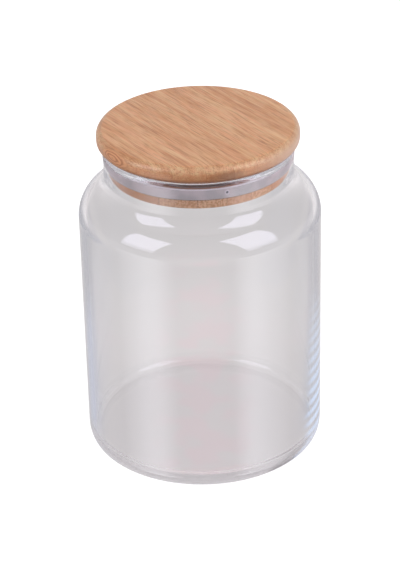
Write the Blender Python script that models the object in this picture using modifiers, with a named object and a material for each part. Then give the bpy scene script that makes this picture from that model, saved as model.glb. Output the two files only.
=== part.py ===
"""Glass storage jar with a bamboo lid.

The jar is one turned glass shell with a flowing shoulder and a narrower neck. The lid is a board of
edge-glued bamboo strips, turned to a disc with a plug below it, and a soft seal ring sits in a groove
round the plug. Lengths are in metres, +Z is up, and the origin is under the jar's axis on the table.
The bamboo strips run along X.
"""

import math

import bpy

# Glass body, from the table up
JAR_HEIGHT = 0.1496
BODY_RADIUS = 0.055
BODY_WALL = 0.0030
FLOOR_THICKNESS = 0.0055
FLOOR_FILLET = 0.0050
HEEL_WIDTH = 0.0034
HEEL_HEIGHT = 0.0065
FOOT_RING_WIDTH = 0.0076
PUSH_UP = 0.0008

# Glass shoulder, neck and lip
SHOULDER_WIDTH = 0.0120
SHOULDER_BEND = 0.0145
COVE_BEND = 0.0085
NECK_LENGTH = 0.0151
NECK_WALL = 0.0026
LIP_ROUND_HEIGHT = 0.0030
LIP_INNER_ROUND = 0.0011

# Lid board: a disc that rests over the lip and a plug that hangs in the mouth
DISC_THICKNESS = 0.0073
DISC_OVERHANG = 0.0025
DISC_TOP_ROUND = 0.0035
DISC_UNDER_ROUND = 0.0017
PLUG_DEPTH = 0.0144
PLUG_EDGE_ROUND = 0.0006
PLUG_CLEARANCE = 0.0010

# Bamboo strips that the board is glued up from
STRIP_COUNT = 8
GLUE_LINE = 0.0003
EDGE_STRIP_HOLD = 0.0024

# Seal ring in the plug's groove
SEAL_THICKNESS = 0.0033
SEAL_HEIGHT = 0.0062
SEAL_DROP = 0.0034
SEAL_ROUND = 0.0009
SEAL_FIT = 0.0003

# Running gap between glass and what rests on it or slides in it
REST_GAP = 0.0003

# How far a cutter passes the material that it cuts
CUTTER_OVERRUN = 0.0050

# Points of a turned section that lie closer than this at the axis become one
AXIS_MERGE = 0.00001

# Facets of every turned piece, and steps of the arcs in their profiles
TURN_SEGMENTS = 64
FINE_ARC = 8
MEDIUM_ARC = 5
SMALL_ARC = 3
PUSH_UP_STEPS = 4

# Sizes that follow from the ones above
NECK_RADIUS = BODY_RADIUS - SHOULDER_WIDTH
BORE_RADIUS = NECK_RADIUS - NECK_WALL
INNER_RADIUS = BODY_RADIUS - BODY_WALL
COVE_START = JAR_HEIGHT - NECK_LENGTH
SEAT_HEIGHT = JAR_HEIGHT + REST_GAP
DISC_RADIUS = NECK_RADIUS + DISC_OVERHANG
PLUG_RADIUS = BORE_RADIUS - PLUG_CLEARANCE
SEAL_RADIUS = BORE_RADIUS - REST_GAP
GROOVE_RADIUS = SEAL_RADIUS - SEAL_THICKNESS - SEAL_FIT

# Finishes: colour, and roughness from 0, mirror smooth, to 1
GLASS_COLOUR = (0.83, 0.84, 0.86, 0.35)
GLASS_ROUGHNESS = 0.03
SEAL_COLOUR = (0.66, 0.65, 0.72, 1.0)
SEAL_ROUGHNESS = 0.35
BAMBOO_COLOURS = ((0.56, 0.34, 0.20, 1.0), (0.62, 0.39, 0.23, 1.0), (0.59, 0.35, 0.21, 1.0))
BAMBOO_ROUGHNESS = 0.5


def make_material(name, colour, roughness, clear=False):
    """Return a Principled material of one colour and roughness; a clear one lets light through."""
    material = bpy.data.materials.new(name)
    material.use_nodes = True
    shader = material.node_tree.nodes["Principled BSDF"]
    shader.inputs["Base Color"].default_value = colour
    shader.inputs["Roughness"].default_value = roughness
    shader.inputs["Metallic"].default_value = 0.0
    shader.inputs["Transmission Weight"].default_value = float(clear)
    material.diffuse_color = colour
    return material


def arc(centre, radii, start, end, steps):
    """Return points on an elliptical arc from start to end, in degrees from the outward direction."""
    points = []
    for step in range(steps + 1):
        angle = math.radians(start + (end - start) * step / steps)
        points.append((centre[0] + radii[0] * math.cos(angle), centre[1] + radii[1] * math.sin(angle)))
    return points


def shoulder_angle(width, shoulder_bend, cove_bend):
    """Return the steepest slope, in degrees, of two bends that together step in by width."""
    return math.degrees(math.acos(1.0 - width / (shoulder_bend + cove_bend)))


def shoulder_curve(wall_radius, neck_radius, shoulder_bend, cove_bend):
    """Return the flowing curve from the neck down to the wall: a cove, then a round shoulder."""
    slope = shoulder_angle(wall_radius - neck_radius, shoulder_bend, cove_bend)
    drop = (shoulder_bend + cove_bend) * math.sin(math.radians(slope))
    cove_centre = (neck_radius + cove_bend, COVE_START)
    shoulder_centre = (wall_radius - shoulder_bend, COVE_START - drop)
    cove = arc(cove_centre, (cove_bend, cove_bend), 180.0, 180.0 + slope, MEDIUM_ARC)
    shoulder = arc(shoulder_centre, (shoulder_bend, shoulder_bend), slope, 0.0, FINE_ARC)
    return cove + shoulder[1:]


def lip_curve():
    """Return the fire-polished lip, from the mouth over the crest to the neck's outside."""
    crest_radius = BORE_RADIUS + LIP_INNER_ROUND
    inner = arc(
        (crest_radius, JAR_HEIGHT - LIP_INNER_ROUND),
        (LIP_INNER_ROUND, LIP_INNER_ROUND),
        180.0,
        90.0,
        SMALL_ARC,
    )
    outer = arc(
        (crest_radius, JAR_HEIGHT - LIP_ROUND_HEIGHT),
        (NECK_WALL - LIP_INNER_ROUND, LIP_ROUND_HEIGHT),
        90.0,
        0.0,
        MEDIUM_ARC,
    )
    return inner + outer[1:]


def glass_profile():
    """Return the jar's section: floor, inside, lip, outside and foot, from axis to axis."""
    floor_bend = arc(
        (INNER_RADIUS - FLOOR_FILLET, FLOOR_THICKNESS + FLOOR_FILLET),
        (FLOOR_FILLET, FLOOR_FILLET),
        -90.0,
        0.0,
        MEDIUM_ARC,
    )
    inside = shoulder_curve(INNER_RADIUS, BORE_RADIUS, SHOULDER_BEND - BODY_WALL, COVE_BEND + NECK_WALL)
    outside = shoulder_curve(BODY_RADIUS, NECK_RADIUS, SHOULDER_BEND, COVE_BEND)
    heel = arc((BODY_RADIUS - HEEL_WIDTH, HEEL_HEIGHT), (HEEL_WIDTH, HEEL_HEIGHT), 0.0, -90.0, MEDIUM_ARC)
    push_up_radius = BODY_RADIUS - HEEL_WIDTH - FOOT_RING_WIDTH
    push_up = []
    for step in range(PUSH_UP_STEPS + 1):
        share = step / PUSH_UP_STEPS
        height = PUSH_UP * 0.5 * (1.0 - math.cos(math.pi * share))
        push_up.append((push_up_radius * (1.0 - share), height))
    floor = [(0.0, FLOOR_THICKNESS)]
    return floor + floor_bend + inside[::-1] + lip_curve() + outside + heel + push_up


def lid_profile():
    """Return the lid board's section about its seat height: disc, plug and groove, axis to axis."""
    groove_top = -SEAL_DROP
    groove_bottom = -SEAL_DROP - SEAL_HEIGHT - 2.0 * SEAL_FIT
    top_round = arc(
        (DISC_RADIUS - DISC_TOP_ROUND, DISC_THICKNESS - DISC_TOP_ROUND),
        (DISC_TOP_ROUND, DISC_TOP_ROUND),
        90.0,
        0.0,
        MEDIUM_ARC,
    )
    under_round = arc(
        (DISC_RADIUS - DISC_UNDER_ROUND, DISC_UNDER_ROUND),
        (DISC_UNDER_ROUND, DISC_UNDER_ROUND),
        0.0,
        -90.0,
        SMALL_ARC,
    )
    groove = [
        (PLUG_RADIUS, 0.0),
        (PLUG_RADIUS, groove_top),
        (GROOVE_RADIUS, groove_top),
        (GROOVE_RADIUS, groove_bottom),
        (PLUG_RADIUS, groove_bottom),
    ]
    plug_edge = arc(
        (PLUG_RADIUS - PLUG_EDGE_ROUND, PLUG_EDGE_ROUND - PLUG_DEPTH),
        (PLUG_EDGE_ROUND, PLUG_EDGE_ROUND),
        0.0,
        -90.0,
        SMALL_ARC,
    )
    return [(0.0, DISC_THICKNESS)] + top_round + under_round + groove + plug_edge + [(0.0, -PLUG_DEPTH)]


def seal_profile():
    """Return the seal ring's closed section about the lid's seat height, outer side first."""
    top = -SEAL_DROP - SEAL_FIT
    bottom = top - SEAL_HEIGHT
    inner = SEAL_RADIUS - SEAL_THICKNESS
    radii = (SEAL_ROUND, SEAL_ROUND)
    corners = (
        ((SEAL_RADIUS - SEAL_ROUND, top - SEAL_ROUND), 90.0),
        ((SEAL_RADIUS - SEAL_ROUND, bottom + SEAL_ROUND), 0.0),
        ((inner + SEAL_ROUND, bottom + SEAL_ROUND), -90.0),
        ((inner + SEAL_ROUND, top - SEAL_ROUND), -180.0),
    )
    section = []
    for centre, start in corners:
        section += arc(centre, radii, start, start - 90.0, SMALL_ARC)
    return section


def turned(name, profile, closed, material, collection, parent):
    """Turn a section about Z into one smooth-shaded solid that hangs on its parent."""
    count = len(profile)
    edges = [(index, index + 1) for index in range(count - 1)]
    if closed:
        edges.append((count - 1, 0))
    mesh = bpy.data.meshes.new(name)
    mesh.from_pydata([(radius, 0.0, height) for radius, height in profile], edges, [])
    mesh.materials.append(material)
    piece = bpy.data.objects.new(name, mesh)
    collection.objects.link(piece)
    piece.parent = parent
    screw = piece.modifiers.new("turn", "SCREW")
    screw.axis = "Z"
    screw.angle = math.tau
    screw.steps = TURN_SEGMENTS
    screw.render_steps = TURN_SEGMENTS
    screw.use_merge_vertices = True
    screw.merge_threshold = AXIS_MERGE
    screw.use_smooth_shade = True
    return piece


def make_axis(name, height, collection, parent):
    """Return an empty on the jar's axis at a height above its parent."""
    axis = bpy.data.objects.new(name, None)
    axis.location = (0.0, 0.0, height)
    axis.parent = parent
    collection.objects.link(axis)
    return axis


def strip_edges():
    """Return the strips' edges across the board; the two outer ones reach past the rim."""
    inner_half = GROOVE_RADIUS - EDGE_STRIP_HOLD
    inner_count = STRIP_COUNT - 2
    edges = [-DISC_RADIUS - CUTTER_OVERRUN]
    for index in range(inner_count + 1):
        edges.append(inner_half * (2.0 * index / inner_count - 1.0))
    edges.append(DISC_RADIUS + CUTTER_OVERRUN)
    return edges


def make_strip_cutter(name, low, high, collection, parent):
    """Return the box that keeps the board between two edges, less half a glue line on each side."""
    length = 2.0 * (DISC_RADIUS + CUTTER_OVERRUN)
    height = DISC_THICKNESS + PLUG_DEPTH + 2.0 * CUTTER_OVERRUN
    bpy.ops.mesh.primitive_cube_add(size=1.0)
    cutter = bpy.context.active_object
    for owner in list(cutter.users_collection):
        owner.objects.unlink(cutter)
    collection.objects.link(cutter)
    cutter.name = name
    cutter.parent = parent
    cutter.scale = (length, high - low - GLUE_LINE, height)
    cutter.location = (0.0, (low + high) / 2.0, (DISC_THICKNESS - PLUG_DEPTH) / 2.0)
    cutter.display_type = "WIRE"
    cutter.hide_render = True
    return cutter


def make_lid(parts, cutters, parent):
    """Make the lid's strips, each the turned board cut down to its own place across the lid."""
    board = lid_profile()
    edges = strip_edges()
    bamboos = []
    for index, colour in enumerate(BAMBOO_COLOURS):
        bamboos.append(make_material(f"bamboo_{index + 1}", colour, BAMBOO_ROUGHNESS))
    for index in range(STRIP_COUNT):
        number = index + 1
        low, high = edges[index], edges[index + 1]
        strip = turned(f"lid_strip_{number}", board, False, bamboos[index % len(bamboos)], parts, parent)
        cutter = make_strip_cutter(f"strip_cutter_{number}", low, high, cutters, parent)
        cut = strip.modifiers.new("strip", "BOOLEAN")
        cut.operation = "INTERSECT"
        cut.solver = "EXACT"
        cut.object = cutter


def clear_scene():
    """Remove whatever objects the open file holds."""
    for leftover in list(bpy.data.objects):
        bpy.data.objects.remove(leftover, do_unlink=True)


def main():
    """Build the jar, its seal ring and its lid."""
    clear_scene()
    parts = bpy.data.collections.new("glass_jar_with_bamboo_lid")
    cutters = bpy.data.collections.new("cutters")
    for collection in (parts, cutters):
        bpy.context.scene.collection.children.link(collection)
    jar_axis = make_axis("jar_axis", 0.0, parts, None)
    lift_axis = make_axis("lid_lift_axis", SEAT_HEIGHT, parts, jar_axis)
    twist_axis = make_axis("lid_twist_axis", 0.0, parts, lift_axis)
    glass = make_material("clear_glass", GLASS_COLOUR, GLASS_ROUGHNESS, clear=True)
    seal = make_material("clear_silicone", SEAL_COLOUR, SEAL_ROUGHNESS)
    turned("glass_jar", glass_profile(), False, glass, parts, jar_axis)
    turned("seal_ring", seal_profile(), True, seal, parts, lift_axis)
    make_lid(parts, cutters, twist_axis)


main()
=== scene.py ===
"""Looks of a clear glass storage jar that is closed by a bamboo lid with a soft seal ring.

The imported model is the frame. Every piece here stands for one of its nodes, in the same place: the
blown glass, the seal ring, and the eight edge-glued strips that the lid was turned from. Lengths are in
metres, +Z is up, and the bamboo strips run along X.
"""

from __future__ import annotations

import logging
import math
from dataclasses import dataclass, field
from enum import Enum
from functools import partial, reduce

import bmesh
import bpy
from bpy.types import ID, Material, Mesh, Node, NodeSocket, NodeTree, Object
from mathutils import Matrix, Vector

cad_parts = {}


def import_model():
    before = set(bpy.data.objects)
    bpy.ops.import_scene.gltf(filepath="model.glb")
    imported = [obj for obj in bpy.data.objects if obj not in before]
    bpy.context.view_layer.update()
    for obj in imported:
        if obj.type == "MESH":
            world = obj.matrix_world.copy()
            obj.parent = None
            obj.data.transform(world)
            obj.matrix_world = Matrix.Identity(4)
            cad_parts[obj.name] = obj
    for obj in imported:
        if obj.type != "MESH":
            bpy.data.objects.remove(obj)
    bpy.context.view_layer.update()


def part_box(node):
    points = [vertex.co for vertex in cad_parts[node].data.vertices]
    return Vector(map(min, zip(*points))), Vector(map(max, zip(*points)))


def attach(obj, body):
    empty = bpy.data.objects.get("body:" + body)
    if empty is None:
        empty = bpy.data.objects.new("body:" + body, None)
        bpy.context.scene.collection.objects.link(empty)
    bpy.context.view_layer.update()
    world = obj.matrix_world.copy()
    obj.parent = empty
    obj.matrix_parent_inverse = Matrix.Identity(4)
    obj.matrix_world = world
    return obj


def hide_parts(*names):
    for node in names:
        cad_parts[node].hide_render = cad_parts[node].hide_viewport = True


LOG = logging.getLogger("glass_jar")
Point = tuple[float, float]
Pair = tuple[float, float]
Place = tuple[float, float, float]
Colour = tuple[float, float, float]


class Body(Enum):
    """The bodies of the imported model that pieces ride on."""

    JAR = "jar"
    SEAL = "seal"
    LID = "lid"


class Slot(Enum):
    """The record's material slots."""

    GLASS = "clear_glass"
    SILICONE = "clear_silicone"
    BAMBOO = "bamboo"


def linear(red: int, green: int, blue: int) -> Colour:
    """Turn a colour as a screen shows it into the linear values that shaders take.

    Args:
        red: Red from 0 to 255.
        green: Green from 0 to 255.
        blue: Blue from 0 to 255.

    Returns:
        The same colour in linear light, each channel from 0 to 1.
    """
    shares = [value / 255.0 for value in (red, green, blue)]
    return tuple(share / 12.92 if share <= 0.04045 else ((share + 0.055) / 1.055) ** 2.4 for share in shares)


def arc(centre: Point, radii: Point | float, start: float, end: float, steps: int) -> list[Point]:
    """List points along a round or elliptical arc of a section.

    Args:
        centre: Radius and height of the arc's centre.
        radii: Radius of the arc, or half widths of its ellipse, outwards and up.
        start: First angle in degrees, from the outward direction.
        end: Last angle in degrees.
        steps: Number of equal steps between them.

    Returns:
        The points from start to end, both included.
    """
    wide, high = radii if isinstance(radii, tuple) else (radii, radii)
    angles = [math.radians(start + (end - start) * step / steps) for step in range(steps + 1)]
    return [(centre[0] + wide * math.cos(angle), centre[1] + high * math.sin(angle)) for angle in angles]


def run(first: Point, last: Point, spacing: float) -> list[Point]:
    """List points along a straight stretch of a section, without its two ends.

    Args:
        first: Radius and height of the start.
        last: Radius and height of the end.
        spacing: Largest distance between neighbours.

    Returns:
        The points between the two ends.
    """
    count = max(1, math.ceil(math.dist(first, last) / spacing))
    reach = (last[0] - first[0], last[1] - first[1])
    shares = [step / count for step in range(1, count)]
    return [(first[0] + reach[0] * share, first[1] + reach[1] * share) for share in shares]


class Tree:
    """A thin hand on a node tree: it adds nodes, sets their inputs and links them."""

    def __init__(self, tree: NodeTree) -> None:
        """Keep the shader or geometry node tree that is worked on."""
        self.tree = tree

    def add(self, kind: str, inputs: dict | None = None, **settings: object) -> Node:
        """Add a node.

        Args:
            kind: The node's type name.
            inputs: Input name or number to a value, or to a socket to link from.
            **settings: Properties of the node itself.

        Returns:
            The new node.
        """
        node = self.tree.nodes.new(kind)
        for name, value in settings.items():
            setattr(node, name, value)
        for key, value in (inputs or {}).items():
            if isinstance(value, NodeSocket):
                self.tree.links.new(value, node.inputs[key])
            else:
                node.inputs[key].default_value = value
        return node

    def math(self, operation: str, *values: object) -> object:
        """Work out a Math node's operation on values or sockets and return its output socket."""
        return self.add("ShaderNodeMath", dict(enumerate(values)), operation=operation).outputs[0]

    def times(self, first: object, *factors: object) -> object:
        """Multiply a socket by values or sockets in turn and return the last output socket."""
        return reduce(partial(self.math, "MULTIPLY"), factors, first)

    def vector(self, operation: str, *values: object, result: str = "Vector") -> object:
        """Work out a Vector Math node's operation on values or sockets and return one of its outputs."""
        return self.add("ShaderNodeVectorMath", dict(enumerate(values)), operation=operation).outputs[result]

    def place(self) -> object:
        """Return the socket of the place on the object."""
        return self.add("ShaderNodeTexCoord").outputs["Object"]

    def split(self, vector: object, axis: str) -> object:
        """Return the socket of one axis, X, Y or Z, of a vector socket."""
        return self.add("ShaderNodeSeparateXYZ", {0: vector}).outputs[axis]

    def noise(self, vector: object, scale: object, detail: float, result: int | str = 0) -> object:
        """Add a noise at the place of a vector socket and return one output, the grey one by default."""
        inputs = {"Vector": vector, "Scale": scale, "Detail": detail}
        return self.add("ShaderNodeTexNoise", inputs).outputs[result]

    def ramp(self, value: object, low: float, high: float, start: object = 0.0, end: object = 1.0) -> object:
        """Map a socket smoothly from the range low to high onto start to end, clamped."""
        inputs = {"Value": value, "From Min": low, "From Max": high, "To Min": start, "To Max": end}
        return self.add("ShaderNodeMapRange", inputs, interpolation_type="SMOOTHSTEP").outputs["Result"]

    def mix(self, share: object, first: object, second: object, blend: str = "MIX") -> object:
        """Mix two colours.

        Args:
            share: How much of the second colour is taken.
            first: First colour or socket.
            second: Second colour or socket.
            blend: Blend type of the node.

        Returns:
            The output socket.
        """
        inputs = {0: share, 6: first, 7: second}
        inputs = {key: (*value, 1.0) if isinstance(value, tuple) else value for key, value in inputs.items()}
        return self.add("ShaderNodeMix", inputs, data_type="RGBA", blend_type=blend).outputs[2]

    def link(self, source: object, target: object) -> None:
        """Link an output socket to an input socket."""
        self.tree.links.new(source, target)


def new_group(
    name: str, kind: str, inputs: dict[str, tuple[str, object]], outputs: dict[str, str]
) -> tuple[Tree, dict, dict]:
    """Make an empty node group with named inputs and outputs.

    Args:
        name: Name of the group.
        kind: ShaderNodeTree or GeometryNodeTree.
        inputs: For each input's name its type and its default, or None.
        outputs: For each output's name its type.

    Returns:
        The tree, its input sockets by name, and its output sockets by name.
    """
    group = bpy.data.node_groups.new(name, kind)
    for label, (socket_type, default) in inputs.items():
        socket = group.interface.new_socket(label, in_out="INPUT", socket_type=f"NodeSocket{socket_type}")
        if default is not None:
            socket.default_value = default
    for label, socket_type in outputs.items():
        group.interface.new_socket(label, in_out="OUTPUT", socket_type=f"NodeSocket{socket_type}")
    tree = Tree(group)
    inside, outside = tree.add("NodeGroupInput"), tree.add("NodeGroupOutput")
    return tree, dict(inside.outputs.items()), dict(outside.inputs.items())


def new_object(name: str, data: ID) -> Object:
    """Put an object in the scene.

    Args:
        name: Name of the object.
        data: Its mesh, lamp or camera.

    Returns:
        The object.
    """
    thing = bpy.data.objects.new(name, data)
    bpy.context.scene.collection.objects.link(thing)
    return thing


class Turnery:
    """Turns sections about Z with one Geometry Nodes tree, as a lathe or a glass mould does."""

    AXIS_MERGE = 0.000002

    def __init__(self) -> None:
        """Build the tree that wraps a section round the axis."""
        inputs = {"Section": ("Geometry", None), "Segments": ("Int", 128), "Finish": ("Material", None)}
        tree, given, result = new_group("turn_section", "GeometryNodeTree", inputs, {"Turned": "Geometry"})
        section = given["Section"]
        size = tree.add("GeometryNodeAttributeDomainSize", {"Geometry": section}, component="MESH")
        count = size.outputs["Point Count"]
        columns = tree.math("ADD", given["Segments"], 1.0)
        sizes = {"Size X": 1.0, "Size Y": 1.0, "Vertices X": columns, "Vertices Y": count}
        grid = tree.add("GeometryNodeMeshGrid", sizes).outputs["Mesh"]
        place = tree.add("GeometryNodeInputPosition").outputs[0]
        turn = tree.times(tree.math("ADD", tree.split(place, "X"), 0.5), math.tau)
        row = tree.times(tree.math("ADD", tree.split(place, "Y"), 0.5), tree.math("SUBTRACT", count, 1.0))
        wanted = {"Geometry": section, "Value": place, "Index": tree.math("ROUND", row)}
        sample = tree.add("GeometryNodeSampleIndex", wanted, data_type="FLOAT_VECTOR", domain="POINT")
        radius, height = (tree.split(sample.outputs[0], axis) for axis in "XZ")
        sides = [tree.times(radius, tree.math(operation, turn)) for operation in ("COSINE", "SINE")]
        spot = tree.add("ShaderNodeCombineXYZ", {0: sides[0], 1: sides[1], 2: height}).outputs[0]
        shape = grid
        for kind, inputs in (
            ("GeometryNodeSetPosition", {"Position": spot}),
            ("GeometryNodeMergeByDistance", {"Distance": self.AXIS_MERGE}),
            ("GeometryNodeSetShadeSmooth", {}),
            ("GeometryNodeRealizeInstances", {}),
            ("GeometryNodeSetMaterial", {"Material": given["Finish"]}),
        ):
            shape = tree.add(kind, {"Geometry": shape, **inputs}).outputs[0]
        tree.link(shape, result["Turned"])
        self.group = tree.tree

    def turn(self, name: str, section: list[Point], finish: Material, segments: int) -> Object:
        """Turn one section into a plain mesh.

        Args:
            name: Name of the piece.
            section: Radius and height of its points, in order; the outer side runs down.
            finish: Material of the piece.
            segments: Steps round the axis.

        Returns:
            The finished object, at the origin.
        """
        outline = bpy.data.meshes.new(f"{name}_section")
        edges = [(index, index + 1) for index in range(len(section) - 1)]
        outline.from_pydata([(radius, 0.0, height) for radius, height in section], edges, [])
        blank = new_object(f"{name}_blank", outline)
        lathe = blank.modifiers.new("turn", "NODES")
        lathe.node_group = self.group
        wanted = {"Segments": segments, "Finish": finish}
        for item in self.group.interface.items_tree:
            if item.item_type == "SOCKET" and item.in_out == "INPUT" and item.name in wanted:
                lathe[item.identifier] = wanted[item.name]
        graph = bpy.context.evaluated_depsgraph_get()
        mesh = bpy.data.meshes.new_from_object(blank.evaluated_get(graph))
        bpy.data.objects.remove(blank)
        mesh.name = name
        face_outwards(mesh)
        return new_object(name, mesh)


def face_outwards(mesh: Mesh) -> None:
    """Point every face of a closed mesh out of its material.

    Args:
        mesh: The mesh, changed in place.
    """
    work = bmesh.new()
    work.from_mesh(mesh)
    if work.calc_volume(signed=True) < 0.0:
        bmesh.ops.reverse_faces(work, faces=work.faces)
    work.to_mesh(mesh)
    work.free()


def seat(piece: Object, body: Body, node: str) -> Object:
    """Put a piece in a node's place.

    Args:
        piece: The finished piece.
        body: The body that it rides on.
        node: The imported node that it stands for.

    Returns:
        The same piece.
    """
    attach(piece, body.value)
    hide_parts(node)
    LOG.info("%s rides on %s and stands for %s", piece.name, body.value, node)
    return piece


@dataclass
class GlassJar:
    """The blown jar: thick floor, straight wall, round shoulder, neck and fire-polished lip."""

    wall: float = 0.0030
    floor: float = 0.0048
    floor_fillet: float = 0.0040
    floor_spacing: float = 0.006
    heel: Point = (0.0034, 0.0065)
    foot_ring: float = 0.0076
    push_up: float = 0.0008
    push_up_steps: int = 24
    shoulder_width: float = 0.0120
    shoulder_bend: float = 0.0145
    cove_bend: float = 0.0085
    neck_length: float = 0.0151
    neck_wall: float = 0.0026
    waist: float = 0.00025
    lip_drop: float = 0.00135
    lip_crest: float = 0.00062
    lip_taper: float = 0.00665
    lip_tilt: float = 32.0
    mouth_flare: float = 8.0
    cove_steps: int = 20
    bend_steps: int = 26
    lip_steps: int = 18
    corner_steps: int = 14
    segments: int = 224
    spacing: float = 0.0012
    radius: float = field(init=False)
    height: float = field(init=False)

    def __post_init__(self) -> None:
        """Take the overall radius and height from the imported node."""
        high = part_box("glass_jar")[1]
        self.radius, self.height = high.x, high.z

    def _shoulder(self, wall_radius: float, neck_radius: float, bend: float, cove: float) -> list[Point]:
        """List the flowing curve from the neck down to the wall.

        Args:
            wall_radius: Radius of the wall below.
            neck_radius: Radius of the neck above.
            bend: Radius of the round shoulder.
            cove: Radius of the hollow below the neck.

        Returns:
            The points from the neck down.
        """
        slope = math.acos(1.0 - (wall_radius - neck_radius) / (bend + cove))
        top = self.height - self.neck_length
        foot = top - (bend + cove) * math.sin(slope)
        degrees = math.degrees(slope)
        hollow = arc((neck_radius + cove, top), cove, 180.0, 180.0 + degrees, self.cove_steps)
        swell = arc((wall_radius - bend, foot), bend, degrees, 0.0, self.bend_steps)
        return hollow + swell[1:]

    def _lip(self, neck: float, bore: float) -> tuple[list[Point], Point]:
        """List the fire-polished lip, which leans in on the outside and opens a little on the inside.

        Args:
            neck: Outer radius of the neck.
            bore: Inner radius of the neck.

        Returns:
            The points over the crest from inside to outside, and the point where the mouth starts to open.
        """
        tilt, flare = math.radians(self.lip_tilt), math.radians(self.mouth_flare)
        leaned = neck - self.lip_taper * (1.0 - math.cos(tilt))
        middle = (leaned - self.lip_crest * math.cos(tilt), self.height - self.lip_drop - self.lip_crest)
        crest = arc(middle, self.lip_crest, 180.0 - self.mouth_flare, self.lip_tilt, self.lip_steps)
        taper_middle = (neck - self.lip_taper, crest[-1][1] - self.lip_taper * math.sin(tilt))
        taper = arc(taper_middle, self.lip_taper, self.lip_tilt, 0.0, self.lip_steps)
        foot = (bore, crest[0][1] - (crest[0][0] - bore) / math.tan(flare))
        return crest + taper[1:], foot

    def _waist(self, top: Point, foot: Point) -> list[Point]:
        """List the points between the lip and the shoulder, where the neck draws in a little.

        Args:
            top: Last point of the lip.
            foot: First point of the shoulder.

        Returns:
            The points between them, down the outside.
        """
        points = []
        for radius, height in run(top, foot, self.spacing * 0.5):
            share = (top[1] - height) / (top[1] - foot[1])
            points.append((radius - self.waist * math.sin(math.pi * share) ** 2, height))
        return points

    def section(self) -> list[Point]:
        """List the whole section: floor, inside, lip, outside and foot.

        Returns:
            The points from the axis round to the axis again.
        """
        inner = self.radius - self.wall
        neck = self.radius - self.shoulder_width
        bore = neck - self.neck_wall
        fillet = self.floor_fillet
        floor_edge = (inner - fillet, self.floor)
        bend = arc((floor_edge[0], self.floor + fillet), fillet, -90.0, 0.0, self.corner_steps)
        inside = self._shoulder(inner, bore, self.shoulder_bend - self.wall, self.cove_bend + self.neck_wall)
        inside.reverse()
        lip, flare_foot = self._lip(neck, bore)
        outside = self._shoulder(self.radius, neck, self.shoulder_bend, self.cove_bend)
        heel_middle = (self.radius - self.heel[0], self.heel[1])
        heel = arc(heel_middle, self.heel, 0.0, -90.0, self.corner_steps)
        ring = self.radius - self.heel[0] - self.foot_ring
        shares = [step / self.push_up_steps for step in range(self.push_up_steps + 1)]
        rise = self.push_up * 0.5
        dome = [(ring * (1.0 - share), rise * (1.0 - math.cos(math.pi * share))) for share in shares]
        points = [(0.0, self.floor), *run((0.0, self.floor), floor_edge, self.floor_spacing), *bend]
        points += run(bend[-1], inside[0], self.spacing) + inside + run(inside[-1], flare_foot, self.spacing)
        points += [flare_foot, *run(flare_foot, lip[0], self.spacing), *lip]
        points += self._waist(lip[-1], outside[0]) + outside
        return points + run(outside[-1], heel[0], self.spacing) + heel + dome

    def build(self, lathe: Turnery, finish: Material) -> Object:
        """Turn the jar with the lathe, in the glass, and hang it on its body."""
        jar = lathe.turn("clear_jar", self.section(), finish, self.segments)
        return seat(jar, Body.JAR, "glass_jar")


@dataclass
class SealRing:
    """The soft ring in the plug's groove: a band that is pressed flat where it meets the glass."""

    corner: float = 0.0006
    thickness: float = 0.0033
    top_drop: float = 0.00115
    squeeze: float = 0.00035
    contact_foot: float = 0.0020
    draft: float = 0.0002
    hollow: float = 0.0004
    hollow_reach: float = 0.7
    segments: int = 192
    outer: float = field(init=False)
    low: float = field(init=False)
    high: float = field(init=False)

    def __post_init__(self) -> None:
        """Take the ring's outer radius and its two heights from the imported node."""
        low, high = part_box("seal_ring")
        self.outer, self.low, self.high = high.x + self.squeeze, low.z, high.z - self.top_drop

    def section(self) -> list[Point]:
        """List the closed section.

        Returns:
            The points down the outer side and back up the inner one.
        """
        corner = self.corner
        inner, low_outer = self.outer - self.thickness, self.outer - self.draft
        crown = arc((self.outer - corner, self.high - corner), corner, 135.0, 0.0, 12)
        contact = (self.outer, self.low + self.contact_foot)
        foot = arc((low_outer - corner, self.low + corner), corner, 0.0, -90.0, 8)
        back = arc((inner + corner, self.low + corner), corner, -90.0, -180.0, 6)
        back += arc((inner + corner, self.high - self.hollow - corner), corner, -180.0, -270.0, 6)
        sunk = (crown[0][0] - self.hollow * self.hollow_reach, self.high - self.hollow)
        return [*crown, contact, *foot, *back, sunk, crown[0]]

    def build(self, lathe: Turnery, finish: Material) -> Object:
        """Turn the ring with the lathe, in the silicone, and hang it on its body."""
        ring = lathe.turn("seal_band", self.section(), finish, self.segments)
        return seat(ring, Body.SEAL, "seal_ring")


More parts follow.
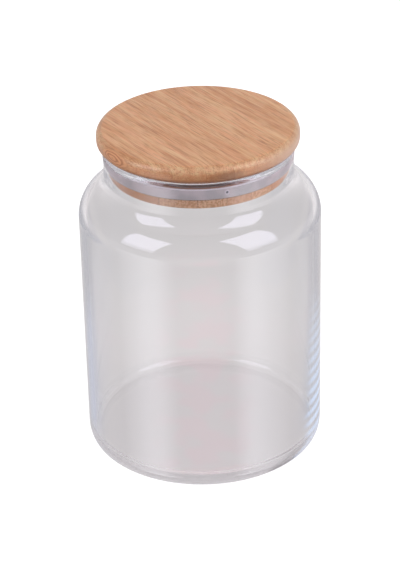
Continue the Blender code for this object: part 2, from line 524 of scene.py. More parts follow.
@dataclass
class BambooLid:
    """The turned board, cut into the strips that it was glued up from."""

    top_round: float = 0.0035
    under_round: float = 0.0026
    disc: float = 0.0077
    plug_depth: float = 0.0140
    plug_edge: float = 0.0006
    groove_drop: float = 0.00415
    groove_height: float = 0.00565
    groove_radius: float = 0.0365
    plug_radius: float = 0.0394
    glue_line: float = 0.00004
    sharp_angle: float = 40.0
    segments: int = 256
    strips: int = 8
    seat_height: float = field(init=False)
    radius: float = field(init=False)

    def __post_init__(self) -> None:
        """Take the disc's radius and the board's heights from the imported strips."""
        boxes = [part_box(self.node(number)) for number in range(1, self.strips + 1)]
        self.radius = max(high.x for _, high in boxes)
        self.seat_height = boxes[0][1].z - self.disc

    @staticmethod
    def node(number: int) -> str:
        """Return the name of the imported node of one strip."""
        return f"lid_strip_{number}"

    def section(self) -> list[Point]:
        """List the board's section.

        Returns:
            The points from the middle of its top to the middle of the plug's face.
        """
        base, top, plug = self.seat_height, self.seat_height + self.disc, self.plug_radius
        face = base - self.plug_depth
        groove_top = base - self.groove_drop
        groove_foot = groove_top - self.groove_height
        rim = arc((self.radius - self.top_round, top - self.top_round), self.top_round, 90.0, 0.0, 16)
        under_middle = (self.radius - self.under_round, base + self.under_round)
        under = arc(under_middle, self.under_round, 0.0, -90.0, 8)
        groove = [(plug, groove_top), (self.groove_radius, groove_top)]
        groove += [(self.groove_radius, groove_foot), (plug, groove_foot)]
        edge = arc((plug - self.plug_edge, face + self.plug_edge), self.plug_edge, 0.0, -90.0, 5)
        return [(0.0, top), *rim, *under, (plug, base), *groove, *edge, (0.0, face)]

    def _edges(self) -> list[float]:
        """Find where strip meets strip across the board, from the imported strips' boxes.

        Returns:
            The edges in order, with one beyond the board at each end.
        """
        seams = []
        for number in range(1, self.strips):
            below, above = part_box(self.node(number))[1].y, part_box(self.node(number + 1))[0].y
            seams.append((below + above) / 2.0)
        return [-2.0 * self.radius, *seams, 2.0 * self.radius]

    def _cut(self, board: Mesh, name: str, low: float, high: float) -> Object:
        """Cut one strip out of a copy of the turned board.

        Args:
            board: Mesh of the whole board.
            name: Name of the strip.
            low: Where the strip starts across the board.
            high: Where it ends.

        Returns:
            The strip.
        """
        work = bmesh.new()
        work.from_mesh(board)
        for edge, side in ((low + self.glue_line / 2.0, -1.0), (high - self.glue_line / 2.0, 1.0)):
            everything = work.verts[:] + work.edges[:] + work.faces[:]
            plane = {"plane_co": (0.0, edge, 0.0), "plane_no": (0.0, side, 0.0)}
            cut = bmesh.ops.bisect_plane(work, geom=everything, clear_outer=True, **plane)
            rim = [item for item in cut["geom_cut"] if isinstance(item, bmesh.types.BMEdge)]
            if rim:
                filled = bmesh.ops.holes_fill(work, edges=rim, sides=0)
                for face in filled["faces"]:
                    face.smooth = False
        bmesh.ops.triangulate(work, faces=[face for face in work.faces if len(face.verts) > 4])
        bmesh.ops.recalc_face_normals(work, faces=work.faces)
        mesh = bpy.data.meshes.new(name)
        work.to_mesh(mesh)
        work.free()
        mesh.set_sharp_from_angle(angle=math.radians(self.sharp_angle))
        return new_object(name, mesh)

    def build(self, lathe: Turnery, finishes: list[Material]) -> list[Object]:
        """Turn the board, cut it into strips and hang them on the lid's body.

        Args:
            lathe: The tool that turns sections.
            finishes: One bamboo for each strip.

        Returns:
            The strips in order.
        """
        board = lathe.turn("board", self.section(), finishes[0], self.segments)
        edges = self._edges()
        made = []
        for index, finish in enumerate(finishes):
            strip = self._cut(board.data, f"bamboo_strip_{index + 1}", edges[index], edges[index + 1])
            strip.data.materials.clear()
            strip.data.materials.append(finish)
            made.append(seat(strip, Body.LID, self.node(index + 1)))
        bpy.data.objects.remove(board)
        return made


class Finish(Tree):
    """The node tree of a new material, empty but for its output."""

    def __init__(self, name: str) -> None:
        """Make the material.

        Args:
            name: Name of the material.
        """
        self.material = bpy.data.materials.new(name)
        self.material.use_nodes = True
        self.material.node_tree.nodes.clear()
        super().__init__(self.material.node_tree)
        self.out = self.add("ShaderNodeOutputMaterial")

    def end(self, shader: Node, socket: str = "Surface") -> Material:
        """Link a shader node to one of the output's sockets and return the material."""
        self.link(shader.outputs[0], self.out.inputs[socket])
        return self.material


def mottle_group() -> NodeTree:
    """Build the group that varies a value softly over a surface, as handling and dust do.

    Returns:
        The shader group, used by the seal and the bamboo.
    """
    inputs = {"Scale": ("Float", 100.0), "Low": ("Float", 0.3), "High": ("Float", 0.5)}
    tree, given, result = new_group("soft_mottle", "ShaderNodeTree", inputs, {"Value": "Float"})
    noise = tree.noise(tree.place(), given["Scale"], 3.0)
    tree.link(tree.ramp(noise, 0.3, 0.7, given["Low"], given["High"]), result["Value"])
    return tree.tree


@dataclass(frozen=True)
class ClearGlass:
    """Faintly grey soda glass that lets lamps through."""

    tint: Colour = (0.985, 0.98, 0.98)
    edge_colour: Colour = (0.55, 0.74, 1.0)
    edge_density: float = 0.55
    ior: float = 1.5
    shadow: Colour = (0.90, 0.90, 0.91)
    base_roughness: float = 0.11
    base_heights: Pair = (0.0009, 0.0014)
    wave_scale: float = 28.0
    wave_strength: float = 0.04

    def make(self) -> Material:
        """Build the material.

        Returns:
            The glass.
        """
        tree = Finish("clear_glass")
        place = tree.place()
        waves = {"Height": tree.noise(place, self.wave_scale, 1.0), "Strength": self.wave_strength}
        bump = tree.add("ShaderNodeBump", {**waves, "Distance": 0.001}).outputs[0]
        stipple = tree.ramp(tree.split(place, "Z"), *self.base_heights, self.base_roughness, 0.0)
        look = {"Base Color": (*self.tint, 1.0), "Roughness": stipple, "IOR": self.ior, "Normal": bump}
        look |= {"Transmission Weight": 1.0, "Metallic": 0.0}
        glass = tree.add("ShaderNodeBsdfPrincipled", look).outputs[0]
        lamp_way = tree.add("ShaderNodeBsdfTransparent", {"Color": (*self.shadow, 1.0)}).outputs[0]
        shadow_ray = tree.add("ShaderNodeLightPath").outputs["Is Shadow Ray"]
        tree.end(tree.add("ShaderNodeMixShader", {0: shadow_ray, 1: glass, 2: lamp_way}))
        depth = {"Color": (*self.edge_colour, 1.0), "Density": self.edge_density}
        return tree.end(tree.add("ShaderNodeVolumeAbsorption", depth), "Volume")


@dataclass(frozen=True)
class Silicone:
    """Translucent white silicone, a little lavender under glass."""

    colour: Colour = (0.65, 0.57, 0.60)
    deep: Colour = (0.50, 0.455, 0.48)
    # Painted highlight: a pale colour on the ring's upper edge; it also draws a pale ring round the dark
    # mark.
    pale_highlight_and_ring: Colour = (0.86, 0.80, 0.87)
    # Painted shade: wood-brown shade on the sunk top, with a painted reflection of the wood, and a painted
    # shadow under the ring.
    wood_brown_shade: Colour = (0.38, 0.19, 0.14)
    gate_dark: Colour = (0.03, 0.03, 0.05)
    gate_mark: Place = (0.0386, -0.0119, 0.1431)
    cloud_scale: float = 120.0
    smear_scale: float = 400.0
    roughness: Pair = (0.12, 0.22)
    ior: float = 1.41
    scatter_share: float = 0.35
    scatter_reach: float = 0.002

    def make(self, mottle: NodeTree) -> Material:
        """Build the material.

        Args:
            mottle: The group that varies the roughness.

        Returns:
            The silicone.
        """
        tree = Finish("clear_silicone")
        place = tree.place()
        clouds = tree.ramp(tree.noise(place, self.cloud_scale, 2.0), 0.35, 0.65)
        colour = tree.mix(clouds, self.colour, self.deep)
        facing = tree.split(tree.add("ShaderNodeTexCoord").outputs["Normal"], "Z")
        far = tree.vector("LENGTH", tree.vector("SUBTRACT", place, self.gate_mark), result="Value")
        # Each row mixes a shade in by a value's ramp: where it starts and ends, and the share at both.
        for value, low, high, start, end, shade in (
            # Painted highlight on the ring's upper edge.
            (facing, 0.15, 0.6, 0.0, 1.0, self.pale_highlight_and_ring),
            # Painted shade with a painted reflection of the wood on the sunk top.
            (facing, 0.80, 0.97, 0.0, 1.0, self.wood_brown_shade),
            # Painted shadow along the ring's underside.
            (facing, -0.6, -0.2, 0.85, 0.0, self.wood_brown_shade),
            (far, 0.0008, 0.0013, 0.6, 0.0, self.pale_highlight_and_ring),
            (far, 0.0003, 0.0008, 0.9, 0.0, self.gate_dark),
        ):
            colour = tree.mix(tree.ramp(value, low, high, start, end), colour, shade)
        smears = {"Scale": self.smear_scale, "Low": self.roughness[0], "High": self.roughness[1]}
        rough = tree.add("ShaderNodeGroup", smears, node_tree=mottle)
        look = {"Base Color": colour, "Roughness": rough.outputs[0], "IOR": self.ior}
        look |= {"Subsurface Weight": self.scatter_share, "Subsurface Scale": 1.0}
        look |= {"Subsurface Radius": (self.scatter_reach,) * 3}
        return tree.end(tree.add("ShaderNodeBsdfPrincipled", look))


@dataclass(frozen=True)
class Bamboo:
    """Sanded bamboo: long dark fibres on the face, dots on the end grain."""

    light: Colour = linear(229, 181, 134)
    rosy: Colour = linear(228, 166, 122)
    middle: Colour = linear(198, 132, 84)
    dark: Colour = linear(156, 84, 38)
    # Painted shade: the disc turns darker and more saturated as its surface faces down.
    underside_shade: Colour = linear(146, 86, 48)
    # Painted light: the plug in the disc's shade is painted paler, mixed with its real pores.
    plug_painted_light: Colour = linear(255, 206, 162)
    pores: Colour = linear(216, 150, 98)
    orange: Colour = linear(206, 134, 84)
    # Painted sheen: a pale pinkish colour on the disc's side, growing towards +Y, where the right-hand
    # softbox shines.
    side_sheen: Colour = linear(206, 172, 152)
    ring_light: Colour = linear(206, 146, 102)
    ring_dark: Colour = linear(164, 100, 60)
    stain: Colour = linear(112, 74, 50)
    # A cooler, slightly darker tint that is multiplied over the disc's upper rounding.
    rounding_tint: Colour = (0.86, 0.94, 1.0)
    disc_heights: Pair = (0.1488, 0.1496)
    side_sheen_from: Pair = (-0.012, 0.024)
    seam_pitch: float = 0.01137
    seam_width: float = 0.00022
    seam_depth: float = 0.55
    # Each kind of cell has a size across the fibres, and a scale along them as a share of that across.
    speckle: Pair = (0.0009, 1.0)
    bundle: Pair = (0.00072, 0.030)
    thread: Pair = (0.00026, 0.019)
    fleck: Pair = (0.000416, 0.045)
    band: Pair = (0.0032, 0.07)
    hue: Pair = (0.0016, 0.05)
    # Between which values of its noise or distance each pattern turns on.
    speckle_limits: Pair = (0.38, 0.62)
    bundle_limits: Pair = (0.06, 0.36)
    fleck_limits: Pair = (0.54, 0.70)
    hue_limits: Pair = (0.40, 0.60)
    base_tone: float = 0.60
    thread_contrast: float = 2.2
    band_contrast: float = 1.6
    fleck_share: float = 0.50
    bundle_share: float = 0.78
    end_share: float = 0.08
    underside_shade_share: float = 0.80
    plug_share: float = 0.8
    dot_share: float = 0.45
    side_sheen_share: float = 0.85
    groove_depth: float = 0.8
    wander: float = 0.0005
    wander_scale: float = 45.0
    seed_step: float = 0.37
    knuckle_strip: int = 1
    knuckle_place: Place = (0.0008, -0.0450, 0.1540)
    knuckle_shape: Place = (135.0, 420.0, 470.0)
    knuckle_reach: Pair = (0.90, 1.60)
    knuckle_share: float = 0.95
    knuckle_curl: float = 0.45
    knuckle_curl_scale: float = 300.0
    knuckle_rings: float = 15.0
    stained_strips: tuple[int, ...] = (3, 4)
    stain_place: Place = (0.0420, -0.0135, 0.1528)
    stain_shape: Place = (80.0, 115.0, 380.0)
    stain_reach: Pair = (0.3, 1.2)
    stain_share: float = 0.58
    stain_blur: float = 0.9
    stain_blur_scale: float = 420.0
    roughness: Pair = (0.34, 0.5)
    smear_scale: float = 220.0
    coat: float = 0.4
    coat_roughness: float = 0.35
    relief_strength: float = 0.12
    relief_distance: float = 0.0002

    def grain_group(self) -> NodeTree:
        """Build the group that grows the fibres through the whole thickness of a strip.

        Returns:
            The shader group, with a seed, tones, a knuckle and a stain for each strip.
        """
        inputs = dict.fromkeys(("Seed", "Tone", "Knuckle", "Stain", "End Tone"), ("Float", 0.0))
        outputs = {"Color": "Color", "Height": "Float"}
        tree, given, result = new_group("bamboo_grain", "ShaderNodeTree", inputs, outputs)
        place, seed = tree.place(), given["Seed"]
        drift = tree.add("ShaderNodeCombineXYZ", {0: seed, 1: seed, 2: seed}).outputs[0]
        moved = tree.vector("ADD", place, drift)
        bend = tree.vector("SUBTRACT", tree.noise(moved, self.wander_scale, 1.0, "Color"), (0.5, 0.5, 0.5))
        moved = tree.vector("MULTIPLY_ADD", bend, (0.0, self.wander, self.wander), moved)
        cells = {"Vector": self._stretched(tree, moved, self.bundle), "Scale": 1.0, "Randomness": 1.0}
        bundles = tree.add("ShaderNodeTexVoronoi", cells).outputs
        strength = tree.add("ShaderNodeSeparateColor", {0: bundles["Color"]}).outputs[0]
        bundle = tree.ramp(bundles["Distance"], *self.bundle_limits, 1.0, 0.0)
        bundle = tree.times(bundle, tree.ramp(strength, 0.1, 1.0, 0.2, 1.0))
        threads = self._drawn(tree, moved, self.thread, 3.0)
        bands = self._drawn(tree, moved, self.band, 2.0)
        flecks = tree.ramp(self._drawn(tree, moved, self.fleck, 1.0), *self.fleck_limits)
        hue = tree.ramp(self._drawn(tree, moved, self.hue, 2.0), *self.hue_limits)
        tone = self.base_tone
        for value, contrast in ((threads, self.thread_contrast), (bands, self.band_contrast)):
            tone = tree.math("MULTIPLY_ADD", tree.math("SUBTRACT", value, 0.5), contrast, tone)
        tone = tree.ramp(tree.math("ADD", tone, given["Tone"]), 0.0, 1.0)
        normal = tree.add("ShaderNodeTexCoord").outputs["Normal"]
        facing, end = tree.split(normal, "Z"), tree.math("ABSOLUTE", tree.split(normal, "X"))
        side = tree.math("SUBTRACT", 1.0, tree.math("ABSOLUTE", facing))
        disc = tree.ramp(tree.split(place, "Z"), *self.disc_heights)
        speckle = tree.ramp(self._drawn(tree, place, self.speckle, 1.0), *self.speckle_limits)
        plug = tree.times(tree.math("SUBTRACT", 1.0, disc), self.plug_share)
        across = tree.split(place, "Y")
        seam = tree.math("PINGPONG", across, self.seam_pitch / 2.0)
        seam = tree.ramp(seam, 0.0, self.seam_width, self.seam_depth, 0.0)
        side_sheen = tree.times(tree.ramp(across, *self.side_sheen_from), tree.times(side, disc), self.side_sheen_share)
        colour = tree.mix(tone, self.middle, tree.mix(hue, self.light, self.rosy))
        for share, shade in (
            (tree.times(flecks, self.fleck_share), self.dark),
            (tree.times(bundle, self.bundle_share), self.dark),
            (tree.times(end, self.end_share), self.dark),
            # Painted shade, darker towards the disc's underside.
            (tree.times(tree.ramp(facing, -0.6, 0.6, self.underside_shade_share, 0.0), disc), self.underside_shade),
            # Painted light: the plug painted paler, with pore speckle.
            (plug, tree.mix(speckle, self.pores, self.plug_painted_light)),
            (tree.times(bundle, side, self.dot_share), self.dark),
            (tree.times(given["End Tone"], side, plug), self.orange),
            (tree.times(seam, side), self.dark),
            # Painted sheen on the disc's side towards +Y.
            (side_sheen, self.side_sheen),
        ):
            colour = tree.mix(share, colour, shade)
        # The disc's upper rounding is multiplied by a cooler, slightly darker tint.
        rounding_tint = tree.times(tree.ramp(facing, 0.05, 0.4), disc, tree.ramp(facing, 0.92, 0.99, 1.0, 0.0))
        colour = tree.mix(rounding_tint, colour, self.rounding_tint, "MULTIPLY")
        whorl, rings = self._knuckle(tree, place)
        marks = (("Knuckle", whorl, rings), ("Stain", self._stain(tree, place), self.stain))
        for mark, share, shade in marks:
            colour = tree.mix(tree.times(share, given[mark]), colour, shade)
        tree.link(colour, result["Color"])
        relief = tree.math("SUBTRACT", threads, tree.times(bundle, self.groove_depth))
        tree.link(relief, result["Height"])
        return tree.tree

    def _knuckle(self, tree: Tree, place: object) -> tuple[object, object]:
        """Draw the whorl of a bamboo knuckle, where the culm's wall once stopped the fibres.

        Args:
            tree: The tree that is built.
            place: Socket of the place on the strip.

        Returns:
            Sockets of the whorl's share and of its colour.
        """
        reach = tree.vector("SUBTRACT", place, self.knuckle_place)
        curl = tree.noise(place, self.knuckle_curl_scale, 1.0, "Color")
        curl = tree.vector("SUBTRACT", curl, (0.5, 0.5, 0.5))
        shape = tree.vector("MULTIPLY", reach, self.knuckle_shape)
        shape = tree.vector("MULTIPLY_ADD", curl, (self.knuckle_curl,) * 3, shape)
        far = tree.vector("LENGTH", shape, result="Value")
        rings = tree.ramp(tree.math("SINE", tree.times(far, self.knuckle_rings)), -0.9, 1.1)
        inside = tree.ramp(far, *self.knuckle_reach, self.knuckle_share, 0.0)
        return inside, tree.mix(rings, self.ring_light, self.ring_dark)

    def _stain(self, tree: Tree, place: object) -> object:
        """Mark one dark, rubbed spot on the rim.

        Args:
            tree: The tree that is built.
            place: Socket of the place on the strip.

        Returns:
            Socket of the spot's share.
        """
        reach = tree.vector("SUBTRACT", place, self.stain_place)
        far = tree.vector("LENGTH", tree.vector("MULTIPLY", reach, self.stain_shape), result="Value")
        blur = tree.math("SUBTRACT", tree.noise(place, self.stain_blur_scale, 2.0), 0.5)
        far = tree.math("MULTIPLY_ADD", blur, self.stain_blur, far)
        return tree.ramp(far, *self.stain_reach, self.stain_share, 0.0)

    @staticmethod
    def _stretched(tree: Tree, vector: object, cell: Pair) -> object:
        """Scale a vector to cells of a size across the fibres, drawn out along them by one over a share."""
        return tree.vector("MULTIPLY", vector, (cell[1] / cell[0], 1.0 / cell[0], 1.0 / cell[0]))

    def _drawn(self, tree: Tree, vector: object, cell: Pair, detail: float) -> object:
        """Add a noise with such stretched cells and return its grey socket."""
        return tree.noise(self._stretched(tree, vector, cell), 1.0, detail)

    def make(self, number: int, grain: NodeTree, mottle: NodeTree, tones: Pair) -> Material:
        """Build the bamboo of one strip.

        Args:
            number: Number of the strip, which also seeds its grain.
            grain: The group that grows the fibres.
            mottle: The group that varies the roughness.
            tones: How much lighter the strip is, and how orange its end grain is.

        Returns:
            The material.
        """
        tree = Finish(f"bamboo_{number}")
        own = {"Seed": self.seed_step * number, "Tone": tones[0], "End Tone": tones[1]}
        own["Knuckle"] = float(number == self.knuckle_strip)
        own["Stain"] = float(number in self.stained_strips)
        fibres = tree.add("ShaderNodeGroup", own, node_tree=grain).outputs
        smears = {"Scale": self.smear_scale, "Low": self.roughness[0], "High": self.roughness[1]}
        rough = tree.add("ShaderNodeGroup", smears, node_tree=mottle)
        relief = {"Strength": self.relief_strength, "Distance": self.relief_distance}
        bump = tree.add("ShaderNodeBump", {"Height": fibres["Height"], **relief}).outputs[0]
        look = {"Base Color": fibres["Color"], "Roughness": rough.outputs[0], "Normal": bump}
        look |= {"Coat Weight": self.coat, "Coat Roughness": self.coat_roughness, "Specular IOR Level": 0.5}
        return tree.end(tree.add("ShaderNodeBsdfPrincipled", look))


@dataclass(frozen=True)
class Softbox:
    """The glowing face of a softbox, square to the jar, in shares of its distance."""

    name: str
    azimuth: float
    elevation: float
    half_width: float
    half_height: float
    radiance: float
    feather: float = 0.08
    colour: Colour = (0.88, 0.86, 1.0)
    bounces: Pair = (0.0, 6.0)


@dataclass(frozen=True)
class Screen:
    """A curved screen round the jar, which fades into the room towards both of its azimuths."""

    name: str
    azimuths: Pair
    elevations: Pair
    radiance: float
    rise: float
    falloff: float
    colour: Colour = (0.97, 0.96, 1.0)
    top_share: float = 1.0
    slats: float = 0.0
    bounces: Pair = (0.0, 6.0)
    nearness: float = 1.0
    steps: int = 16


@dataclass
class Studio:
    """Camera, softboxes, pale table and white surroundings. Azimuths are to the right of the camera."""

    azimuth: float = 56.0
    pitch: float = 28.907
    roll: float = -1.38
    distance: float = 1.0002
    focal_pixels: float = 2163.1
    aim_height: float = 0.077
    frame_pixels: tuple[int, int] = (400, 570)
    aim_pixel: Point = (201.57, 282.45)
    sensor: float = 36.0
    clip: Pair = (0.05, 20.0)
    softboxes: tuple[Softbox, ...] = (
        Softbox("softbox_left", -60.0, 34.0, half_width=0.32, half_height=0.39, radiance=3.9),
        Softbox("softbox_right", 58.0, 38.0, half_width=0.32, half_height=0.50, radiance=3.9),
    )
    daylight: Colour = (0.62, 0.82, 1.15)
    screens: tuple[Screen, ...] = (
        Screen("low_glow_left", (-23.0, -84.0), (-50.0, -5.0), radiance=3.1, rise=0.33, falloff=0.50),
        Screen("low_glow_right", (27.0, 92.0), (-50.0, -5.0), radiance=3.1, rise=0.28, falloff=0.62),
        Screen("low_shade_left", (-105.0, -170.0), (-50.0, -14.0), radiance=0.60, rise=0.2, falloff=0.2),
        Screen("blue_blinds", (111.0, 176.0), (-50.0, -33.5), 1.9, 0.2, 0.75, daylight, slats=0.0130),
        Screen("blue_blinds_top", (117.0, 176.0), (-33.5, -28.5), 1.9, 0.2, 0.75, daylight, 0.0, 0.0130),
        Screen("backdrop", (115.0, 245.0), (-12.0, 40.0), 0.82, 0.25, 0.25, (1.0, 0.965, 0.98), 0.0),
        Screen(
            "dark_card", (-139.0, -158.0), (-4.0, 22.0), 0.02, 0.1, 0.1, (0.6, 0.8, 1.3),
            bounces=(5.0, 40.0), nearness=0.97,
        ),
    )
    slat_glow: Pair = (0.05, 1.0)
    screen_distance: float = 1.2
    lamps: tuple[tuple[str, float, float, float], ...] = (
        ("lamp_left", -68.0, 25.0, 0.60),
        ("lamp_right", 78.0, 20.0, 0.80),
        ("lamp_overhead", 0.0, 80.0, 0.22),
        ("lamp_front", 0.0, 15.0, 0.14),
    )
    lamp_distance: float = 1.1
    lamp_size: float = 0.9
    table_half: float = 3.0
    table_drop: float = 0.0002
    table_colour: Colour = (0.35, 0.35, 0.35)
    table_glow: Pair = (0.84, 1.0)
    table_glow_reach: Pair = (0.08, 0.40)
    table_dim: Pair = (0.63, 0.50)
    table_dim_reach: Pair = (0.06, 0.26)
    room_grey: Colour = (0.66, 0.63, 0.645)
    rosy: Colour = (0.785, 0.655, 0.688)
    rosy_calm: Colour = (0.735, 0.690, 0.700)
    rosy_patches: float = 60.0
    rosy_reach: Pair = (0.008, 0.030)
    rosy_depth: Pair = (0.12, 0.18)
    sky_right: Colour = (0.28, 0.30, 0.36)
    sky_left: Colour = (0.30, 0.32, 0.42)
    sky_far: Colour = (0.22, 0.215, 0.25)
    sky_depth: Pair = (0.065, 0.125)
    sky_start: Pair = (-0.024, 0.010)
    sky_slope: float = 0.28
    sky_reach_right: Pair = (0.041, 0.053)
    sky_reach_left: Pair = (0.047, 0.059)
    pale: Colour = (0.64, 0.61, 0.63)
    pale_reach: Pair = (0.23, 0.42)
    ambient: float = 0.22
    light_path_length: int = 160

    def direction(self, azimuth: float, elevation: float) -> Vector:
        """Return the unit vector from the jar to an azimuth and an elevation, both in degrees."""
        turn, rise = math.radians(self.azimuth + azimuth), math.radians(elevation)
        return Vector((math.sin(turn) * math.cos(rise), -math.cos(turn) * math.cos(rise), math.sin(rise)))

    def facing_jar(self, azimuth: float, elevation: float, distance: float) -> Matrix:
        """Work out where something stands that looks at the jar along its own -Z.

        Args:
            azimuth: Degrees to the right of the camera.
            elevation: Degrees above the table.
            distance: How far off the jar's middle it stands.

        Returns:
            Its place and turn.
        """
        towards = self.direction(azimuth, elevation)
        place = Vector((0.0, 0.0, self.aim_height)) + towards * distance
        return Matrix.Translation(place) @ towards.to_track_quat("Z", "Y").to_matrix().to_4x4()

    def place_camera(self) -> None:
        """Stand the camera where the photograph was taken from."""
        lens = bpy.data.cameras.new("photo_camera")
        width, height = self.frame_pixels
        longest = max(width, height)
        lens.sensor_width = self.sensor
        lens.lens = self.focal_pixels * self.sensor / longest
        lens.shift_x = (width / 2.0 - self.aim_pixel[0]) / longest
        lens.shift_y = (self.aim_pixel[1] - height / 2.0) / longest
        lens.clip_start, lens.clip_end = self.clip
        camera = new_object("photo_camera", lens)
        level = self.facing_jar(0.0, self.pitch, self.distance)
        camera.matrix_world = level @ Matrix.Rotation(math.radians(self.roll), 4, "Z")
        bpy.context.scene.camera = camera

    def hang_lamps(self) -> None:
        """Hang soft lamps that aim at the jar and show in no reflection.

        Each lamp has a name, an azimuth, an elevation and a level, which is the share of full light that
        it throws on a surface square to it.
        """
        area = self.lamp_size**2
        solid_angle = area / self.lamp_distance**2
        for name, azimuth, elevation, level in self.lamps:
            lamp = bpy.data.lights.new(name, "AREA")
            lamp.shape = "SQUARE"
            lamp.size = self.lamp_size
            lamp.energy = level * math.pi / solid_angle * math.pi * area
            hung = new_object(name, lamp)
            hung.matrix_world = self.facing_jar(azimuth, elevation, self.lamp_distance)
            hung.visible_glossy = False
            hung.visible_transmission = False
            hung.visible_camera = False

    def stand_softbox(self, box: Softbox) -> None:
        """Stand one softbox's face, with a feathered edge, that the glass mirrors.

        Args:
            box: The softbox.
        """
        aimed = self.facing_jar(box.azimuth, box.elevation, self.screen_distance)
        corners = []
        for size in (1.0 - box.feather, 1.0):
            for across, up in ((-1.0, -1.0), (1.0, -1.0), (1.0, 1.0), (-1.0, 1.0)):
                reach = Vector((across * box.half_width, up * box.half_height, 0.0)) * self.screen_distance
                corners.append(aimed @ (reach * size))
        sides = [(side, 4 + side, 4 + (side + 1) % 4, (side + 1) % 4) for side in range(4)]
        self._mirrored_only(box, corners, [(0, 1, 2, 3), *sides], [1.0] * 4 + [0.0] * 4)

    def stand_screen(self, screen: Screen) -> None:
        """Stand one curved screen that the glass mirrors.

        Args:
            screen: The screen.
        """
        distance = self.screen_distance * screen.nearness
        first, last = screen.azimuths
        corners, shares = [], []
        for step in range(screen.steps + 1):
            share = step / screen.steps
            level = max(0.0, min(1.0, share / screen.rise, (1.0 - share) / screen.falloff))
            for height, part in zip(screen.elevations, (1.0, screen.top_share)):
                corner = self.direction(first + (last - first) * share, 0.0) * distance
                corner.z = self.aim_height + distance * math.tan(math.radians(height))
                corners.append(corner)
                shares.append(level * part)
        faces = [(2 * step, 2 * step + 2, 2 * step + 3, 2 * step + 1) for step in range(screen.steps)]
        self._mirrored_only(screen, corners, faces, shares)

    def _mirrored_only(
        self, source: Softbox | Screen, corners: list[Vector], faces: list[tuple], shares: list[float]
    ) -> None:
        """Make a glowing surface that only reflections see.

        Args:
            source: The softbox or screen that it belongs to.
            corners: Its corners.
            faces: Its faces.
            shares: How far each corner glows in its own light, from 0 for the room's grey to 1.
        """
        mesh = bpy.data.meshes.new(source.name)
        mesh.from_pydata(corners, [], faces)
        mesh.attributes.new("glow", "FLOAT", "POINT").data.foreach_set("value", shares)
        tree = Finish(source.name)
        share = tree.add("ShaderNodeAttribute", attribute_name="glow").outputs["Fac"]
        bounces = tree.add("ShaderNodeLightPath").outputs["Ray Depth"]
        share = tree.times(share, tree.math("GREATER_THAN", bounces, source.bounces[0] - 0.5))
        share = tree.times(share, tree.math("LESS_THAN", bounces, source.bounces[1] + 0.5))
        if isinstance(source, Screen) and source.slats:
            wave = tree.math("SINE", tree.times(tree.split(tree.place(), "Z"), math.tau / source.slats))
            share = tree.times(share, tree.ramp(wave, -1.0, 1.0, *self.slat_glow))
        light = tuple(channel * source.radiance for channel in source.colour)
        glow = tree.add("ShaderNodeEmission", {"Color": tree.mix(share, self.room_grey, light)})
        mesh.materials.append(tree.end(glow))
        screen = new_object(source.name, mesh)
        screen.visible_camera = False
        screen.visible_diffuse = False
        screen.visible_shadow = False

    @staticmethod
    def _ray_shares(tree: Tree) -> tuple[object, object]:
        """Tell the rays that show the room apart.

        Args:
            tree: The tree of a material or of the world.

        Returns:
            A socket that is 1 for rays from the camera, and one that is 1 for rays off or through glass.
        """
        path = tree.add("ShaderNodeLightPath").outputs
        through = tree.math("MAXIMUM", path["Is Glossy Ray"], path["Is Transmission Ray"])
        return path["Is Camera Ray"], tree.times(through, tree.math("LESS_THAN", path["Diffuse Depth"], 0.5))

    def lay_table(self) -> None:
        """Lay the pale table, which is white where it is seen but for the jar's faint shadow."""
        mesh = bpy.data.meshes.new("table")
        half = self.table_half
        corners = [(-half, -half, 0.0), (half, -half, 0.0), (half, half, 0.0), (-half, half, 0.0)]
        mesh.from_pydata(corners, [], [(0, 1, 2, 3)])
        table = new_object("table", mesh)
        table.location.z = -self.table_drop
        tree = Finish("pale_table")
        board = {"Base Color": (*self.table_colour, 1.0), "Roughness": 0.5, "Specular IOR Level": 0.0}
        top = tree.add("ShaderNodeBsdfPrincipled", board)
        place = tree.place()
        far = tree.vector("LENGTH", place, result="Value")
        straight, through = self._ray_shares(tree)
        level = tree.times(tree.ramp(far, *self.table_glow_reach, *self.table_glow), straight)
        grey = tree.mix(through, (0.0, 0.0, 0.0), self._table_colours(tree, place, far))
        glow = tree.add("ShaderNodeEmission", {"Color": tree.mix(level, grey, (1.0, 1.0, 1.0))})
        both = tree.add("ShaderNodeAddShader", {0: top.outputs[0], 1: glow.outputs[0]})
        mesh.materials.append(tree.end(both))
        table.visible_glossy = False

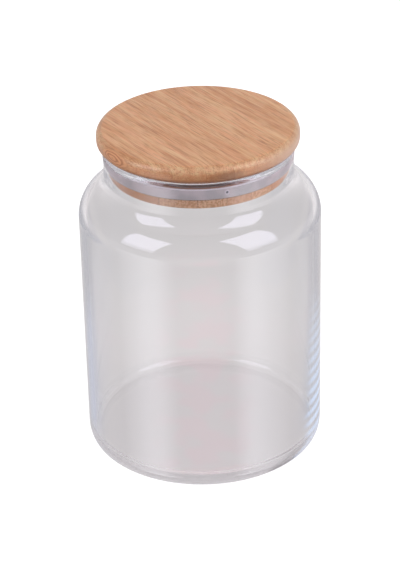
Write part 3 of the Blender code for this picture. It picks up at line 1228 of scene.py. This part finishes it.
    def _table_colours(self, tree: Tree, place: object, far: object) -> object:
        """Colour the table as the glass shows it: rosy in patches behind the jar and cool at its sides.

        Args:
            tree: The tree of the table's material.
            place: Socket of the place on the table.
            far: Socket of the distance from the jar.

        Returns:
            Socket of the colour.
        """
        behind, right = self.direction(180.0, 0.0), self.direction(90.0, 0.0)
        depth, across = (tree.vector("DOT_PRODUCT", place, way, result="Value") for way in (behind, right))
        rosy = tree.ramp(tree.math("ABSOLUTE", across), *self.rosy_reach, 1.0, 0.0)
        rosy = tree.times(rosy, tree.ramp(depth, *self.rosy_depth, 1.0, 0.0))
        patches = tree.ramp(tree.noise(place, self.rosy_patches, 1.0), 0.42, 0.58)
        colour = tree.mix(rosy, self.room_grey, tree.mix(patches, self.rosy_calm, self.rosy))
        dim = tree.ramp(far, *self.table_dim_reach, *self.table_dim)
        colour = tree.mix(dim, (0.0, 0.0, 0.0), colour)
        distance = tree.ramp(depth, *self.sky_depth)
        sides = ((1.0, self.sky_reach_right, self.sky_right), (-1.0, self.sky_reach_left, self.sky_left))
        for side, reach, sky in sides:
            out = tree.math("MULTIPLY_ADD", depth, -self.sky_slope, tree.times(across, side))
            share = tree.times(tree.ramp(out, *reach), tree.ramp(depth, *self.sky_start))
            colour = tree.mix(share, colour, tree.mix(distance, sky, self.sky_far))
        return tree.mix(tree.ramp(far, *self.pale_reach), colour, self.pale)

    def light_surroundings(self) -> None:
        """Make the surroundings white where they are seen and dim where they only light."""
        world = bpy.data.worlds.new("white_room")
        world.use_nodes = True
        world.node_tree.nodes.clear()
        tree = Tree(world.node_tree)
        out = tree.add("ShaderNodeOutputWorld")
        straight, through = self._ray_shares(tree)
        grey = tree.mix(through, (self.ambient,) * 3, self.room_grey)
        shade = tree.mix(straight, grey, (1.0, 1.0, 1.0))
        both = tree.add("ShaderNodeBackground", {"Color": shade, "Strength": 1.0})
        tree.link(both.outputs[0], out.inputs["Surface"])
        bpy.context.scene.world = world

    def set_up(self) -> None:
        """Build the whole studio."""
        scene = bpy.context.scene
        scene.view_settings.view_transform = "Standard"
        scene.cycles.max_bounces = self.light_path_length
        scene.cycles.glossy_bounces = self.light_path_length
        scene.cycles.transmission_bounces = self.light_path_length
        self.place_camera()
        self.hang_lamps()
        for box in self.softboxes:
            self.stand_softbox(box)
        for screen in self.screens:
            self.stand_screen(screen)
        self.lay_table()
        self.light_surroundings()


# For each strip, how much lighter it is and how orange its end grain is.
STRIP_TONES = (
    (-0.02, 0.90), (0.03, 0.20), (-0.02, 0.00), (0.04, 0.60),
    (0.0, 0.10), (0.12, 0.80), (-0.04, 0.20), (0.04, 0.40),
)


def main() -> None:
    logging.basicConfig(level=logging.INFO, format="%(name)s: %(message)s")
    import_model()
    mottle = mottle_group()
    bamboo = Bamboo()
    grain = bamboo.grain_group()
    lathe = Turnery()
    GlassJar().build(lathe, ClearGlass().make())
    SealRing().build(lathe, Silicone().make(mottle))
    finishes = [bamboo.make(number + 1, grain, mottle, tones) for number, tones in enumerate(STRIP_TONES)]
    BambooLid().build(lathe, finishes)
    Studio().set_up()


if __name__ == "__main__":
    main()
